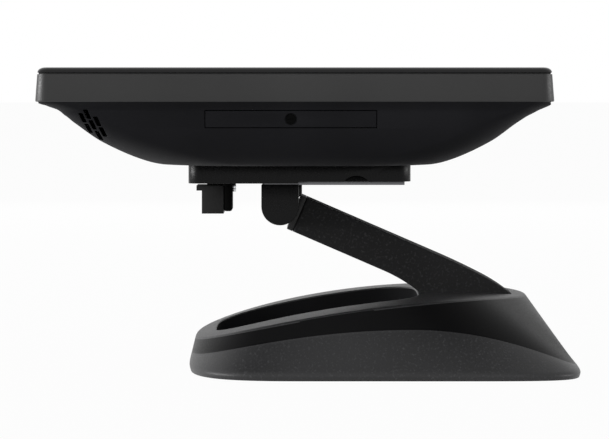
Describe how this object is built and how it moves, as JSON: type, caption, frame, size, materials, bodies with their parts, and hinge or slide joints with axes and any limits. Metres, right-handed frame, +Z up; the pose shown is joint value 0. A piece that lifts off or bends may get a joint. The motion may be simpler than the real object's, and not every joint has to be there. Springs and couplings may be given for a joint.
{
  "type": "touchscreen terminal",
  "caption": "Counter touchscreen terminal: flat screen head that tilts on a slanted arm above a low ring-shaped stand, with a side drive bay and a release latch.",
  "frame": {"origin": "bottom centre of the box round the part as it stands, on the table", "axes": "+Z up; -Y towards the operator; +X to the operator's right, the side with the drive door"},
  "size_m": [0.366, 0.3284, 0.1893],
  "materials": {
    "touch_glass": "black-backed, smooth",
    "gasket_foam": "matt",
    "bezel_plastic": "fine satin",
    "cover_plastic": "fine matt",
    "panel_module": "satin metal can",
    "sheet_steel": "zinc plated",
    "circuit_board": "solder mask",
    "heatsink_aluminium": "satin",
    "port_metal": "satin",
    "speaker_black": "matt",
    "screw_black": "black zinc",
    "button_plastic": "satin",
    "drive_case": "satin",
    "mount_plastic": "fine grain",
    "bracket_steel": "zinc plated",
    "latch_plastic": "satin",
    "bright_steel": "turned",
    "arm_plastic": "spark grain",
    "arm_casting": "black coated",
    "washer_bronze": "satin",
    "stand_plastic": "spark grain",
    "plate_steel": "black paint",
    "ballast_iron": "as cast",
    "foot_rubber": "matt"
  },
  "bodies": {
    "stand": {"base_shell": "stand_plastic", "base_plate": "plate_steel", "base_ballast": "ballast_iron", "rubber_foot_1": "foot_rubber", "rubber_foot_2": "foot_rubber", "rubber_foot_3": "foot_rubber", "rubber_foot_4": "foot_rubber", "root_bolts": "screw_black", "base_screws": "screw_black", "arm_core": "arm_casting", "arm_shell_right": "arm_plastic", "arm_shell_left": "arm_plastic", "hinge_shaft": "bright_steel", "friction_washer_right": "washer_bronze", "friction_washer_left": "washer_bronze", "disc_spring_right": "bright_steel", "disc_spring_left": "bright_steel", "hinge_nut_right": "bright_steel", "hinge_nut_left": "bright_steel"},
    "head": {"touch_glass": "touch_glass", "glass_gasket": "gasket_foam", "front_bezel": "bezel_plastic", "rear_cover": "cover_plastic", "lcd_panel": "panel_module", "chassis_plate": "sheet_steel", "io_bracket": "sheet_steel", "drive_cage": "sheet_steel", "backing_plate": "sheet_steel", "vesa_plate": "sheet_steel", "mainboard": "circuit_board", "memory_module": "circuit_board", "power_switch": "circuit_board", "processor_heatsink": "heatsink_aluminium", "io_ports": "port_metal", "speaker_right": "speaker_black", "speaker_left": "speaker_black", "cover_screw_1": "screw_black", "cover_screw_2": "screw_black", "cover_screw_3": "screw_black", "cover_screw_4": "screw_black", "mount_screw_1": "screw_black", "mount_screw_2": "screw_black", "mount_screw_3": "screw_black", "mount_screw_4": "screw_black", "mount_cover": "mount_plastic", "mount_cover_plug": "mount_plastic", "hinge_cover_right": "mount_plastic", "hinge_cover_left": "mount_plastic", "tilt_bracket": "bracket_steel", "latch_housing": "latch_plastic", "latch_spring": "bright_steel", "latch_screw": "bright_steel"},
    "drive": {"drive_door": "cover_plastic", "drive_tray": "sheet_steel", "ssd_drive": "drive_case"},
    "door_screw": {"door_thumbscrew": "screw_black"},
    "power_key": {"power_button": "button_plastic"},
    "latch": {"release_latch": "latch_plastic"}
  },
  "joints": [
    {"name": "screen_tilt", "type": "hinge", "parent": "stand", "child": "head", "pos_m": [0, -0.0222, 0.1024], "axis": [1, 0, 0], "range_deg": [0, 60]},
    {"name": "drive_tray_slide", "type": "slide", "parent": "head", "child": "drive", "axis": [1, 0, 0], "range_m": [0, 0.08]},
    {"name": "door_screw_turn", "type": "hinge", "parent": "drive", "child": "door_screw", "pos_m": [0.1754, -0.0148, 0.159], "axis": [1, 0, 0], "continuous": true},
    {"name": "power_button_press", "type": "slide", "parent": "head", "child": "power_key", "axis": [1, 0, 0], "range_m": [0, 0.0015], "stiffness_N_per_m": 600},
    {"name": "latch_pull", "type": "slide", "parent": "head", "child": "latch", "axis": [0, -1, 0], "range_m": [0, 0.006], "stiffness_N_per_m": 500, "deforming": ["latch_spring"]}
  ]
}
